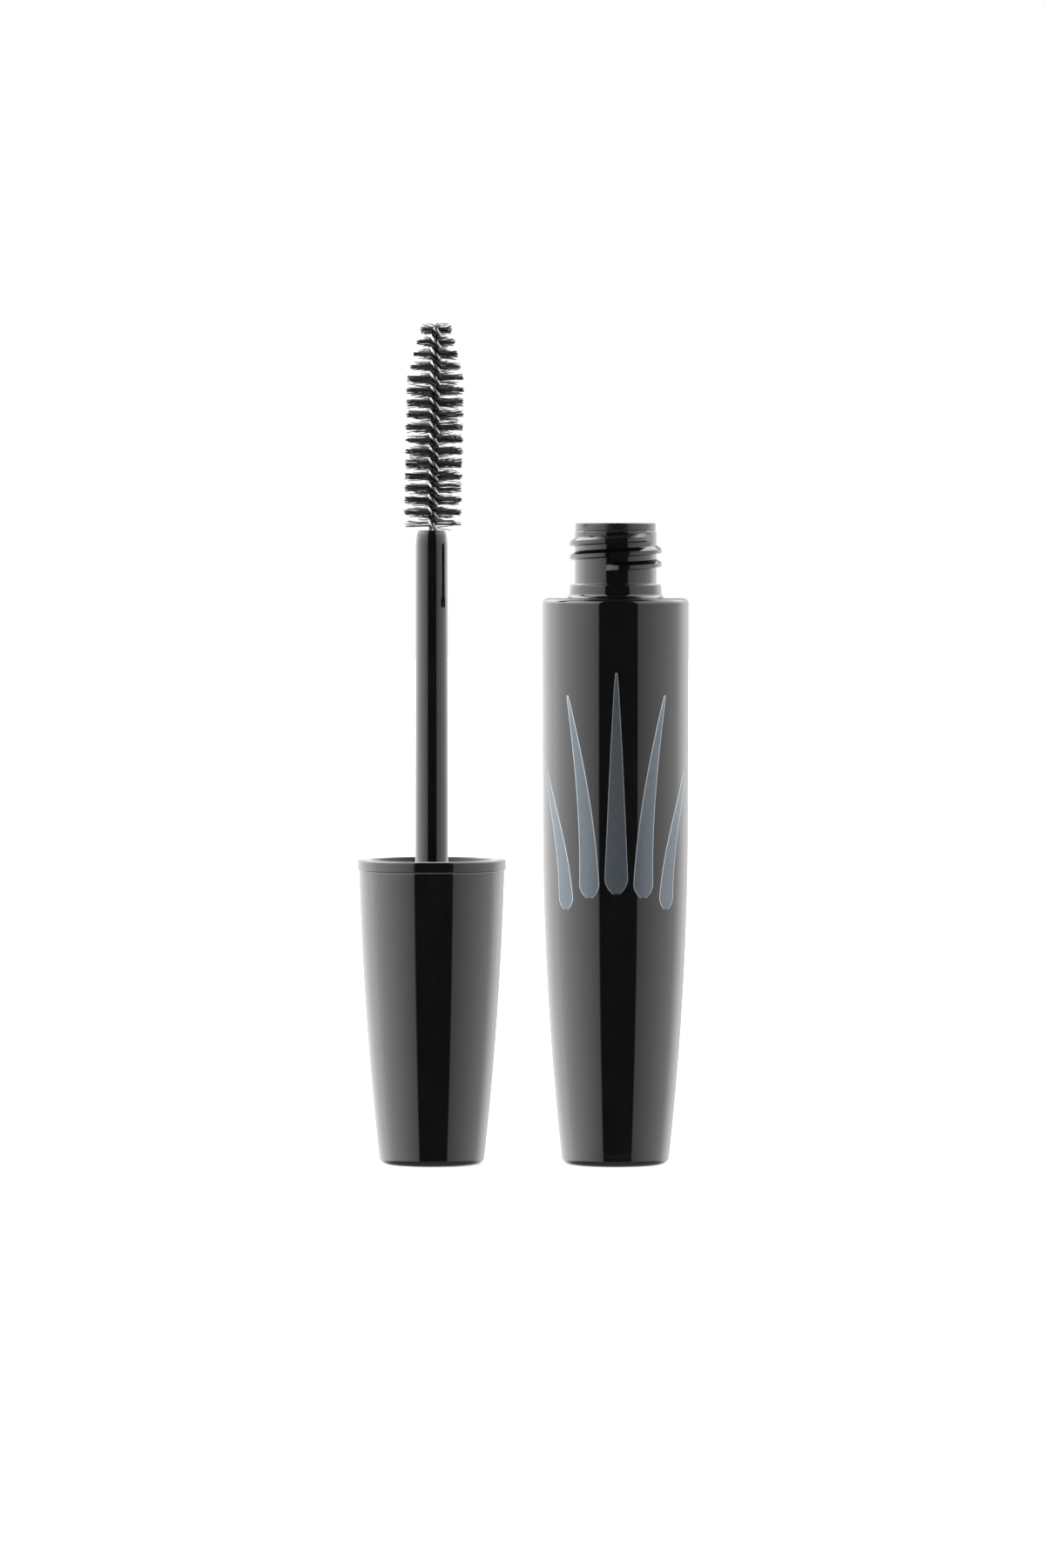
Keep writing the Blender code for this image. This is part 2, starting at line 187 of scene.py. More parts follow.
def add_range(material, source, low, high, socket):
    """Sends source to a socket of the shader, with the noise's usual range stretched to
    low..high."""
    tree = material.node_tree
    ramp = tree.nodes.new("ShaderNodeMapRange")
    ramp.inputs["From Min"].default_value = 0.3
    ramp.inputs["From Max"].default_value = 0.7
    ramp.inputs["To Min"].default_value = low
    ramp.inputs["To Max"].default_value = high
    tree.links.new(source, ramp.inputs["Value"])
    tree.links.new(ramp.outputs["Result"], shader_of(material).inputs[socket])


def add_colours(material, source, dark, light):
    """Mixes the base colour between two colours."""
    tree = material.node_tree
    ramp = tree.nodes.new("ShaderNodeValToRGB")
    ramp.color_ramp.elements[0].position = 0.35
    ramp.color_ramp.elements[0].color = (*dark, 1.0)
    ramp.color_ramp.elements[1].position = 0.65
    ramp.color_ramp.elements[1].color = (*light, 1.0)
    tree.links.new(source, ramp.inputs["Fac"])
    tree.links.new(ramp.outputs["Color"], shader_of(material).inputs["Base Color"])


def add_bump(material, source, distance, strength=1.0):
    """A bump as high as distance, in metres, where source is 1."""
    tree = material.node_tree
    bump = tree.nodes.new("ShaderNodeBump")
    bump.inputs["Distance"].default_value = distance
    bump.inputs["Strength"].default_value = strength
    tree.links.new(source, bump.inputs["Height"])
    tree.links.new(bump.outputs["Normal"], shader_of(material).inputs["Normal"])


def gloss_black(name, roughness=0.035, ripple=0.3e-6):
    """Polished black moulding: faint flow ripple along the draw and fine haze."""
    material = new_material(name, roughness, IOR=1.52)
    add_colours(material, add_noise(material, 180.0), (0.0010, 0.0010, 0.0011), (0.0018, 0.0018, 0.0019))
    add_range(material, add_noise(material, 900.0, 5.0), roughness * 0.7, roughness * 1.5, "Roughness")
    add_bump(material, add_noise(material, 260.0, 1.0, (1.0, 1.0, 0.12)), ripple)
    return material


def soft_plastic(name):
    """Moulded polyethylene: satin, slightly pebbled."""
    material = new_material(name, 0.28, IOR=1.51)
    add_colours(material, add_noise(material, 700.0), (0.0022, 0.0022, 0.0024), (0.0045, 0.0045, 0.0048))
    add_range(material, add_noise(material, 2600.0, 4.0), 0.2, 0.36, "Roughness")
    add_bump(material, add_noise(material, 5200.0, 2.0), 4e-6, 0.5)
    return material


def foam_rubber(name):
    """Pale foamed liner stock, matt and pitted."""
    material = new_material(name, 0.7, IOR=1.48)
    add_colours(material, add_noise(material, 2500.0, 6.0), (0.46, 0.46, 0.44), (0.62, 0.62, 0.6))
    add_range(material, add_noise(material, 5000.0), 0.6, 0.85, "Roughness")
    add_bump(material, add_noise(material, 6500.0, 4.0), 25e-6, 0.6)
    return material


def drawn_wire(name):
    """Bright drawn steel, with die lines along the wire."""
    material = new_material(name, 0.22, 1.0)
    add_colours(material, add_noise(material, 1800.0, 4.0), (0.24, 0.24, 0.25), (0.42, 0.42, 0.43))
    add_range(material, add_noise(material, 4200.0, 5.0), 0.14, 0.32, "Roughness")
    add_bump(material, add_noise(material, 9000.0, 3.0, (1.0, 1.0, 0.2)), 3e-6, 0.5)
    return material


def nylon_fibre(name):
    """Black nylon with a dull sheen."""
    material = new_material(name, 0.38, IOR=1.53)
    add_colours(material, add_noise(material, 900.0, 2.0), (0.004, 0.004, 0.0042), (0.012, 0.012, 0.0125))
    add_range(material, add_noise(material, 3000.0, 2.0), 0.28, 0.5, "Roughness")
    add_bump(material, add_noise(material, 12000.0, 2.0), 3e-6, 0.5)
    return material


def metallic_ink(name, dark, light):
    """Slate ink with fine metallic flakes."""
    material = new_material(name, 0.34, 0.72, IOR=1.5)
    add_colours(material, add_noise(material, 9000.0, 4.0), dark, light)
    add_range(material, add_noise(material, 14000.0, 3.0), 0.26, 0.44, "Roughness")
    add_bump(material, add_noise(material, 16000.0, 3.0), 1.5e-6, 0.4)
    return material


# ----------------------------------------------------------------- geometry


def arc(centre_x, centre_z, radius, start, end, count):
    """Points of a round stretch, both ends included. The angles are in degrees."""
    points = []
    for i in range(count):
        angle = math.radians(start + (end - start) * i / (count - 1))
        points.append((centre_x + radius * math.cos(angle), centre_z + radius * math.sin(angle)))
    return points


def rounded(corners, radii, count=5):
    """A polyline with its inner corners rounded: each curve starts and ends where an arc
    of that radius would, if the sides are long enough for it."""
    points = [corners[0]]
    for before, corner, after, radius in zip(corners, corners[1:], corners[2:], radii):
        here = Vector(corner)
        to_before = Vector(before) - here
        to_after = Vector(after) - here
        if radius == 0:
            points.append(corner)
            continue
        half = to_before.angle(to_after) / 2
        cut = min(radius / math.tan(half), 0.49 * to_before.length, 0.49 * to_after.length)
        start = here + to_before.normalized() * cut
        end = here + to_after.normalized() * cut
        for i in range(count):
            share = i / (count - 1)
            point = start * (1 - share) ** 2 + here * 2 * share * (1 - share) + end * share ** 2
            points.append((point.x, point.y))
    points.append(corners[-1])
    return points


def object_from(name, shape, material, origin_x):
    """An object from a bmesh, with its origin on the axis of the bottle or the cap."""
    bmesh.ops.recalc_face_normals(shape, faces=shape.faces)
    mesh = bpy.data.meshes.new(name)
    shape.to_mesh(mesh)
    shape.free()
    mesh.materials.append(material)
    mesh.shade_smooth()
    piece = bpy.data.objects.new(name, mesh)
    bpy.context.scene.collection.objects.link(piece)
    piece.location.x = origin_x
    return piece


def turned(name, profile, material, origin_x=0.0, columns=128, relief=None, closed=False):
    """A turned solid: profile (radius, height) swept round Z. Points at radius 0 close it.
    relief(radius, height, angle) gives radius and height where the surface isn't round."""
    shape = bmesh.new()
    rings = []
    for radius, height in profile:
        if radius < 1e-7:
            rings.append([shape.verts.new((0.0, 0.0, height))])
            continue
        ring = []
        for i in range(columns):
            angle = math.tau * i / columns
            reach, level = relief(radius, height, angle) if relief else (radius, height)
            ring.append(shape.verts.new((reach * math.cos(angle), reach * math.sin(angle), level)))
        rings.append(ring)
    pairs = list(zip(rings, rings[1:]))
    if closed:
        pairs.append((rings[-1], rings[0]))
    for upper, lower in pairs:
        for i in range(columns):
            j = (i + 1) % columns
            if len(upper) == 1:
                shape.faces.new((upper[0], lower[i], lower[j]))
            elif len(lower) == 1:
                shape.faces.new((upper[i], lower[0], upper[j]))
            elif relief:
                # The diagonals climb with a right-handed thread
                low, high = (lower, upper) if lower[i].co.z < upper[i].co.z else (upper, lower)
                shape.faces.new((low[i], low[j], high[j]))
                shape.faces.new((low[i], high[j], high[i]))
            else:
                shape.faces.new((upper[i], lower[i], lower[j], upper[j]))
    piece = object_from(name, shape, material, origin_x)
    piece.data.set_sharp_from_angle(angle=math.radians(40))
    return piece


def standing_face(base, slope, rise, middle, recess):
    """The ring that a piece stands on, and the shallow recess inside it."""
    ring = base - FOOT_WIDTH
    return [(ring, 0.0), (ring - slope, rise), (middle, recess), (0.0, recess)]


def smooth_step(value):
    value = max(0.0, min(1.0, value))
    return value * value * (3 - 2 * value)


def thread_rise(height, angle, start, first_angle, sweep, crest, above, below):
    """0 to 1: how far the right-handed thread stands up at this height and angle. The
    flank above the crest is longer than the one below it. The lower end is a short
    ramp, narrower than the rest, and the upper end fades out."""
    turned_by = (angle - first_angle) % math.tau
    best = 0.0
    while turned_by <= sweep:
        ramp = min(1.0, turned_by / THREAD_BLUNT_END)
        fade = smooth_step((sweep - turned_by) / THREAD_RUN_OUT)
        off = (height - start - THREAD_PITCH * turned_by / math.tau) / (0.6 + 0.4 * ramp)
        flank = above if off > 0 else below
        body = 1 - (abs(off) - crest / 2) / flank
        best = max(best, min(1.0, max(0.0, body), ramp) * fade)
        turned_by += math.tau
    return best


def bottle_outer(height):
    """The body's outside radius: nearly straight above the waist, and curved in below."""
    if height >= WAIST_HEIGHT:
        share = (height - WAIST_HEIGHT) / (SHOULDER_HEIGHT - WAIST_HEIGHT)
        return WAIST_RADIUS + (BOTTLE_RADIUS - WAIST_RADIUS) * share
    return WAIST_RADIUS - BASE_TAPER * (1 - height / WAIST_HEIGHT) ** 2


def neck_relief(radius, height, angle):
    """The neck's thread. Each row of points is lifted onto the nearest line that climbs
    with the thread, so the thread's edges run along the mesh."""
    if abs(radius - NECK_RADIUS) > 0.01 * MM or not NECK_LOW < height < NECK_HIGH:
        return radius, height
    climbing = THREAD_START + THREAD_ROW / 2 + THREAD_PITCH * (angle - THREAD_ANGLE) / math.tau
    height += (climbing - height) % THREAD_ROW
    rise = thread_rise(
        height, angle, THREAD_START, THREAD_ANGLE, THREAD_SWEEP,
        THREAD_CREST_ROWS * THREAD_ROW, THREAD_UPPER_ROWS * THREAD_ROW, THREAD_LOWER_ROWS * THREAD_ROW)
    return radius + THREAD_DEPTH * rise, height


def make_neck(plastic):
    """The neck with the collar and the flat of the shoulder."""
    neck_top = NECK_HIGH + NECK_ROUND
    rows = int((NECK_HIGH - NECK_LOW) / THREAD_ROW - 0.5)
    ring_low = SHOULDER_HEIGHT - WALL
    profile = [(SHOULDER_SEAM, ring_low), (NECK_BORE + 0.3 * MM, ring_low), (NECK_BORE, ring_low + 0.3 * MM)]
    profile += [(NECK_BORE, neck_top - 0.1 * MM), (NECK_BORE + 0.1 * MM, neck_top)]
    profile += arc(NECK_RADIUS - NECK_ROUND, NECK_HIGH, NECK_ROUND, 90, 0, 6)
    profile += [(NECK_RADIUS, NECK_HIGH - THREAD_ROW * i) for i in range(1, rows + 1)]
    profile += arc(NECK_RADIUS + NECK_FILLET, NECK_LOW, NECK_FILLET, 180, 270, 5)
    profile += arc(COLLAR_RADIUS - COLLAR_ROUND, COLLAR_TOP - COLLAR_ROUND, COLLAR_ROUND, 90, 0, 8)
    flare = COLLAR_RADIUS + COLLAR_FLARE + COLLAR_FILLET
    profile += arc(flare, SHOULDER_HEIGHT + COLLAR_FILLET, COLLAR_FILLET, 180, 270, 12)
    profile += [(8.4 * MM, SHOULDER_HEIGHT), (SHOULDER_SEAM, SHOULDER_HEIGHT)]
    neck = turned("bottle_neck", profile, plastic, columns=300, relief=neck_relief, closed=True)
    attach(neck, "bottle")
    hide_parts("bottle")


def make_body(plastic):
    """The bottle below the flat of its shoulder."""
    inside = [z * MM for z in (3.4, 6, 10, 16, 24, 34, 44, 56, 68, 74.5)]
    profile = [(0.0, FLOOR_THICKNESS), (INNER_FLOOR_RADIUS, FLOOR_THICKNESS)]
    profile += [(bottle_outer(z) - WALL, z) for z in inside]
    profile += [(bottle_outer(SHOULDER_HEIGHT) - WALL, SHOULDER_HEIGHT - WALL)]
    profile += [(SHOULDER_SEAM, SHOULDER_HEIGHT - WALL), (SHOULDER_SEAM, SHOULDER_HEIGHT)]
    top = SHOULDER_HEIGHT - SHOULDER_ROUND
    profile += arc(BOTTLE_RADIUS - SHOULDER_ROUND, top, SHOULDER_ROUND, 90, 0, 16)
    low = BASE_ROUND * 1.2
    steps = 70
    profile += [(bottle_outer(z), z) for z in (top + (low - top) * i / steps for i in range(1, steps + 1))]
    base = bottle_outer(BASE_ROUND) - BASE_ROUND
    profile += arc(base, BASE_ROUND, BASE_ROUND, 4, -90, 14)
    profile += standing_face(base, 0.5 * MM, 0.12 * MM, 3.0 * MM, 0.2 * MM)
    body = turned("bottle_body", profile, plastic, columns=240)
    body.visible_glossy = False
    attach(body, "bottle")
    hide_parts("bottle")


def make_wiper(plastic):
    """The flange on top of the neck, the sleeve, and the cone down to the orifice."""
    top = WIPER_HIGH.z
    flange = (WIPER_HIGH.x - WIPER_LOW.x) / 2
    low = top - WIPER_FLANGE
    start = (WIPER_BORE + 0.2 * MM, top - 0.5 * MM)
    # The section's corners, each with the radius that rounds it
    section = [
        ((WIPER_BORE + 0.55 * MM, top), 0.3 * MM),
        ((flange, top), 0.16 * MM),
        ((flange, low), 0.12 * MM),
        ((WIPER_SLEEVE, low), 0.1 * MM),
        ((WIPER_SLEEVE, WIPER_CONE_TOP), 0.5 * MM),
        ((WIPER_TIP_RADIUS, WIPER_TIP), 0.12 * MM),
        ((WIPER_ORIFICE, WIPER_TIP), 0.1 * MM),
        ((WIPER_ORIFICE, WIPER_TIP + WIPER_LIP), 0.12 * MM),
        ((WIPER_BORE, WIPER_CONE_TOP), 0.8 * MM),
        ((WIPER_BORE, top - 1.2 * MM), 0.3 * MM)]
    corners = [start] + [corner for corner, _ in section] + [start]
    profile = rounded(corners, [radius for _, radius in section])[:-1]
    wiper = turned("wiper_insert", profile, plastic, columns=144, closed=True)
    wiper.visible_glossy = False
    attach(wiper, "bottle")
    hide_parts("wiper")


def cap_outer(height):
    """The overcap's outside radius: wider towards its mouth, and slightly barrelled."""
    share = height / (BAND_TOP - BAND_HEIGHT)
    straight = CAP_TOP_RADIUS + (CAP_MOUTH_RADIUS - CAP_TOP_RADIUS) * share
    return straight + CAP_BARREL * 4 * share * (1 - share)


def make_overcap(plastic):
    """The cap's outer shell, which stands on its closed top."""
    inside = [z * MM for z in (2.6, 6, 12, 20, 28, 36)]
    profile = [(0.0, CAP_TOP_THICKNESS), (4.6 * MM, CAP_TOP_THICKNESS)]
    profile += [(cap_outer(z) - CAP_WALL, z) for z in inside]
    edge = BAND_TOP - BAND_HEIGHT - CAP_GROOVE
    bore = cap_outer(edge) - CAP_WALL
    profile += [(bore, edge - 0.1 * MM), (bore + 0.1 * MM, edge)]
    top = edge - CAP_EDGE_ROUND
    profile += arc(cap_outer(edge) - CAP_EDGE_ROUND, top, CAP_EDGE_ROUND, 90, 0, 3)
    low = CAP_TOP_ROUND * 1.1
    steps = 47
    profile += [(cap_outer(z), z) for z in (top + (low - top) * i / steps for i in range(1, steps + 1))]
    base = cap_outer(CAP_TOP_ROUND) - CAP_TOP_ROUND
    profile += arc(base, CAP_TOP_ROUND, CAP_TOP_ROUND, -2, -90, 14)
    profile += standing_face(base, 0.4 * MM, 0.1 * MM, 2.5 * MM, 0.16 * MM)
    cap = turned("overcap_shell", profile, plastic, CAP_X, columns=220)
    cap.visible_glossy = False
    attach(cap, "applicator")
    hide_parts("overcap")


def liner_relief(radius, height, angle):
    """The liner's thread, phased for the closed tube."""
    if abs(radius - LINER_BORE) > 0.01 * MM:
        return radius, height
    start = CLOSED_HEIGHT - THREAD_START + THREAD_PITCH * (THREAD_ANGLE / math.tau - 1) - THREAD_PITCH
    rise = thread_rise(
        height, angle, start, -math.tau, LINER_THREAD_SWEEP,
        LINER_THREAD_CREST, LINER_THREAD_FLANK, LINER_THREAD_FLANK)
    return radius - THREAD_DEPTH * rise, height


def make_liner(plastic):
    """The rim band, the skirt inside the overcap, the threaded bore and the rod's socket."""
    rim = BAND_TOP
    low = rim - BAND_HEIGHT
    # The outside from the mouth round to the bore's floor, each corner with its radius
    section = [
        ((MOUTH_OPENING, rim - 0.05 * MM), 0.1 * MM),
        ((MOUTH_OPENING + 0.25 * MM, rim), 0.1 * MM),
        ((BAND_RADIUS, rim), 0.22 * MM),
        ((BAND_RADIUS, low), 0.24 * MM),
        ((8.7 * MM, low), 0.1 * MM),
        ((8.45 * MM, LINER_SKIRT_END), 0.2 * MM),
        ((LINER_TUBE, LINER_SKIRT_END - 0.8 * MM), 0.3 * MM),
        ((LINER_TUBE - 0.4 * MM, LINER_UNDERSIDE), 0.2 * MM),
        ((3.6 * MM, LINER_UNDERSIDE), 0.3 * MM),
        ((3.2 * MM, SOCKET_END), 0.2 * MM),
        ((SOCKET_BORE, SOCKET_END), 0.1 * MM),
        ((SOCKET_BORE, LINER_FLOOR), 0.1 * MM)]
    corners = [(MOUTH_OPENING, rim - 1.0 * MM)] + [corner for corner, _ in section]
    corners += [(LINER_BORE, LINER_FLOOR)]
    profile = rounded(corners, [radius for _, radius in section], 6)[:-1]
    bore_low = LINER_FLOOR + 0.02 * MM
    bore_high = rim - MOUTH_DEPTH - 0.1 * MM
    rows = 90
    profile += [(LINER_BORE, bore_low + (bore_high - bore_low) * i / rows) for i in range(rows + 1)]
    step = rim - MOUTH_DEPTH
    profile += [(LINER_BORE + 0.12 * MM, step), (MOUTH_OPENING - 0.25 * MM, step + 0.02 * MM)]
    profile += [(MOUTH_OPENING, step + 0.28 * MM)]
    liner = turned("liner_body", profile, plastic, CAP_X, columns=200, relief=liner_relief, closed=True)
    liner.visible_glossy = False
    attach(liner, "applicator")
    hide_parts("cap_liner")


def make_seal(rubber):
    """The washer that lies on the floor of the liner's bore."""
    radius = (SEAL_HIGH.x - SEAL_LOW.x) / 2
    start = (SEAL_HOLE, (SEAL_LOW.z + SEAL_HIGH.z) / 2)
    corners = [
        start, (SEAL_HOLE, SEAL_HIGH.z), (radius, SEAL_HIGH.z),
        (radius, SEAL_LOW.z), (SEAL_HOLE, SEAL_LOW.z), start]
    profile = rounded(corners, [0.18 * MM] * 4, 6)[:-1]
    seal = turned("seal_washer", profile, rubber, CAP_X, columns=96, closed=True)
    seal.visible_glossy = False
    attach(seal, "seal")
    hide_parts("sealing_ring")


def make_stem(plastic):
    """The rod: the wire's hole, the rounded nose, the long taper, the flange on the
    liner's floor and the shank in its socket."""
    top = STEM_TOP
    tip = STEM_TIP_RADIUS
    profile = [(0.0, WIRE_HOLE_END), (WIRE_HOLE, WIRE_HOLE_END)]
    profile += [(WIRE_HOLE, top - 0.1 * MM), (WIRE_HOLE + 0.1 * MM, top)]
    profile += arc(tip - STEM_NOSE - STEM_NOSE_ROUND, top - STEM_NOSE_ROUND, STEM_NOSE_ROUND, 90, 8, 8)
    steps = 15
    for i in range(1, steps + 1):
        share = 0.1 + 0.9 * i / steps
        profile.append((tip - STEM_NOSE * (1 - share) ** 2, top - STEM_NOSE_LENGTH * share))
    root = STEM_ROOT
    taper_top = top - STEM_NOSE_LENGTH
    steps = 40
    for i in range(1, steps):
        share = i / steps
        profile.append((tip + (STEM_RADIUS - tip) * share, taper_top + (root - taper_top) * share))
    profile += [(STEM_RADIUS, root), (STEM_RADIUS + 0.15 * MM, root - 0.12 * MM)]
    profile += [(STEM_FLANGE - 0.05 * MM, root - 0.2 * MM), (STEM_FLANGE, root - 0.3 * MM)]
    profile += [(STEM_FLANGE, STEM_FLANGE_LOW + 0.05 * MM), (STEM_FLANGE - 0.05 * MM, STEM_FLANGE_LOW)]
    profile += [(SHANK_RADIUS + 0.05 * MM, STEM_FLANGE_LOW), (SHANK_RADIUS, STEM_FLANGE_LOW - 0.05 * MM)]
    profile += [(SHANK_RADIUS, SHANK_END + SHANK_CHAMFER), (SHANK_RADIUS - SHANK_CHAMFER, SHANK_END)]
    profile += [(0.0, SHANK_END)]
    stem = turned("stem_rod", profile, plastic, CAP_X, columns=96)
    stem.visible_glossy = False
    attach(stem, "applicator")
    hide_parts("stem")


# -------------------------------------------------------------------- brush

STRAND_RADIUS = 0.34 * MM
STRAND_OFFSET = 0.4 * MM
STRAND_SIDES = 14
WIRE_JOINT = 86.8 * MM
WIRE_BOTTOM = 80.9 * MM
WIRE_END_GAP = 0.7 * MM
FIBRE_RADIUS = 0.054 * MM
FIBRE_SIDES = 6
ROW_BOTTOM = 88.0 * MM
ROW_COUNT = 17
ROW_SPACING = 1.67 * MM
BRUSH_RADIUS = (BUNDLE_HIGH.y - BUNDLE_LOW.y) / 2
TAPER_START = 107.6 * MM
TIP_TAPER = 1.8 * MM
TIP_CURVE = 1.1
BRUSH_TOP = ROW_BOTTOM + (ROW_COUNT - 1) * ROW_SPACING
LEAN_START = 80.6 * MM
LEAN = 0.66 * MM
# The lower turns hold more fibres, in looser rows
FIBRES_LOW = 117
FIBRES_HIGH = 98
ROW_SPREAD_LOW = 0.19 * MM
ROW_SPREAD_HIGH = 0.1 * MM
# How much of a row's spacing the strands pull the fibres together by
ROW_PINCH = 0.04
# The share of fibres left out of the lowest row
LOWEST_ROW_GAPS = 0.6


def twist(height):
    """Angle of the first strand: it faces the front at each row, and turns left-handed."""
    return FRONT - math.pi * (height - ROW_BOTTOM) / ROW_SPACING


def lean(height):
    """The wire doesn't stand quite straight in the rod: it leans to one side."""
    share = max(0.0, (height - LEAN_START) / (WIRE_TOP - LEAN_START))
    return LEAN * share


def brush_outer(height):
    """How far the fibres reach: straight, then tapered to the tip."""
    if height <= TAPER_START:
        return BRUSH_RADIUS
    share = (height - TAPER_START) / (BRUSH_TOP - TAPER_START)
    return BRUSH_RADIUS - TIP_TAPER * share ** TIP_CURVE


def tube(shape, route, radii, sides):
    """A closed tube along route, with a radius at each point."""
    rings = []
    side = None
    for i, (point, radius) in enumerate(zip(route, radii)):
        ahead = route[min(i + 1, len(route) - 1)] - route[max(i - 1, 0)]
        ahead.normalize()
        if side is None:
            side = ahead.orthogonal().normalized()
        side = (side - ahead * side.dot(ahead)).normalized()
        other = ahead.cross(side)
        ring = []
        for j in range(sides):
            angle = math.tau * j / sides
            ring.append(shape.verts.new(point + (side * math.cos(angle) + other * math.sin(angle)) * radius))
        rings.append(ring)
    for lower, upper in zip(rings, rings[1:]):
        for j in range(sides):
            k = (j + 1) % sides
            shape.faces.new((lower[j], lower[k], upper[k], upper[j]))
    shape.faces.new(list(reversed(rings[0])))
    shape.faces.new(rings[-1])


def strand_point(height, phase):
    """A point on a strand's axis. The two strands are half a turn apart in phase."""
    angle = twist(height) + phase
    x = STRAND_OFFSET * math.cos(angle) + lean(height)
    return Vector((x, STRAND_OFFSET * math.sin(angle), height))


def make_wire(steel):
    """The wire's twisted length, and below it the folded end that the rod hides."""
    joint = WIRE_JOINT
    top = WIRE_TOP - WIRE_END_GAP
    steps = 240
    exposed = bmesh.new()
    for phase in (0.0, math.pi):
        route = [strand_point(joint + (top - joint) * i / steps, phase) for i in range(steps + 1)]
        # The cutter rounds off each strand's end
        route.append(route[-1] + Vector((0.0, 0.0, 0.08 * MM)))
        tube(exposed, route, [STRAND_RADIUS] * (steps + 1) + [STRAND_RADIUS * 0.7], STRAND_SIDES)
    wire = object_from("twisted_wire", exposed, steel, CAP_X)
    wire.data.set_sharp_from_angle(angle=math.radians(50))
    bottom = WIRE_BOTTOM
    steps = 44
    heights = [joint - (joint - bottom) * i / steps for i in range(steps + 1)]
    first, last = strand_point(bottom, 0.0), strand_point(bottom, math.pi)
    middle = (first + last) / 2
    fold = []
    for i in range(1, 8):
        angle = math.pi * i / 8
        drop = Vector((0.0, 0.0, -STRAND_OFFSET * math.sin(angle)))
        fold.append(middle + (first - middle) * math.cos(angle) + drop)
    route = [strand_point(height, 0.0) for height in heights] + fold
    route += [strand_point(height, math.pi) for height in reversed(heights)]
    buried = bmesh.new()
    tube(buried, route, [STRAND_RADIUS] * len(route), STRAND_SIDES)
    root = object_from("wire_fold", buried, steel, CAP_X)
    root.data.set_sharp_from_angle(angle=math.radians(50))
    root.visible_glossy = False
    for piece in (wire, root):
        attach(piece, "applicator")
        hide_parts("wire_core")


def fibre_route(rng, height, angle):
    """One half fibre, from between the strands out to the brush's outline."""
    tip_zone = smooth_step((height - (BRUSH_TOP - 0.5 * MM)) / (0.9 * MM))
    reach = brush_outer(min(height, BRUSH_TOP)) * (1 + rng.uniform(-0.035, 0.012))
    tilt = rng.gauss(0.0, 0.05) + tip_zone * rng.uniform(-0.22, 0.36)
    bend = rng.gauss(0.0, 0.05 * MM)
    drift = rng.gauss(0.0, 0.05)
    start = 0.12 * MM
    points = []
    for i in range(5):
        share = i / 4
        radius = start + (reach - start) * share
        turned_by = angle + drift * share
        rise = math.sin(tilt) * radius + bend * math.sin(math.pi * share)
        z = min(height + rise, WIRE_TOP - 0.05 * MM)
        points.append(Vector((radius * math.cos(turned_by) + lean(height), radius * math.sin(turned_by), z)))
    return points


def stray_route():
    """One fibre that stands up in front of the wire's end."""
    start = Vector((lean(BRUSH_TOP) + 0.12 * MM, -0.75 * MM, BRUSH_TOP - 0.3 * MM))
    end = Vector((lean(BRUSH_TOP) + 0.04 * MM, -0.6 * MM, WIRE_TOP - 0.06 * MM))
    return [start.lerp(end, i / 4) for i in range(5)]


def make_bristles(nylon):
    """One piece for each bundle: one turn of one of the two blades of fibres."""
    rng = random.Random(41)
    bundles = sorted(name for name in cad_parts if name.startswith("bristle_bundle"))
    turns = len(bundles) // 2
    low = ROW_BOTTOM - 0.22 * ROW_SPACING
    high = BRUSH_TOP + 0.35 * ROW_SPACING
    for name in bundles:
        turn = int(name[-3:-1]) - 1
        upness = turn / (turns - 1)
        per_bundle = round(FIBRES_LOW + (FIBRES_HIGH - FIBRES_LOW) * upness)
        spread = ROW_SPREAD_LOW + (ROW_SPREAD_HIGH - ROW_SPREAD_LOW) * upness
        phase = math.pi / 2 if name.endswith("a") else -math.pi / 2
        shape = bmesh.new()
        for i in range(per_bundle):
            share = (turn + (i + rng.random()) / per_bundle) / turns
            height = low + (high - low) * share
            if height < ROW_BOTTOM + 0.3 * ROW_SPACING and rng.random() < LOWEST_ROW_GAPS:
                continue
            # The strands pinch the fibres into rows
            offset = (height - ROW_BOTTOM) / ROW_SPACING
            pinch = ROW_PINCH * math.sin(math.tau * offset)
            height = height - pinch * ROW_SPACING + rng.gauss(0.0, spread)
            angle = twist(height) + phase + rng.gauss(0.0, 0.16)
            route = fibre_route(rng, height, angle)
            size = FIBRE_RADIUS * rng.uniform(0.85, 1.1)
            tube(shape, route, [size * taper for taper in (1.4, 1.25, 1.1, 1.0, 0.88)], FIBRE_SIDES)
        if name == bundles[-1]:
            tube(shape, stray_route(), [FIBRE_RADIUS * 1.2] * 5, FIBRE_SIDES)
        bundle = object_from(name.replace("bundle", "fibres"), shape, nylon, CAP_X)
        bundle.data.set_sharp_from_angle(angle=math.radians(70))
        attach(bundle, "applicator")
        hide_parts(name)


# -------------------------------------------------------------------- print

INK_HEIGHT = 0.02 * MM
INK_SUNK = 0.04 * MM
EDGE_WIDTH = 0.11 * MM
LASH_COUNT = 5
# The outermost lash's root and tip, sideways round the bottle from its front line
ROOT_SPREAD = 7.6 * MM
TIP_SPREAD = 14.6 * MM
# The middle lash's root and tip, and how much lower the outermost ones are
ROOT_HEIGHT = 37.6 * MM
ROOT_DROP = 2.2 * MM
TIP_HEIGHT = 67.8 * MM
TIP_DROP = 9.5 * MM
LASH_HALF_WIDTH = 1.55 * MM
LASH_THINNING = 0.3 * MM
LASH_POINT = 0.03 * MM


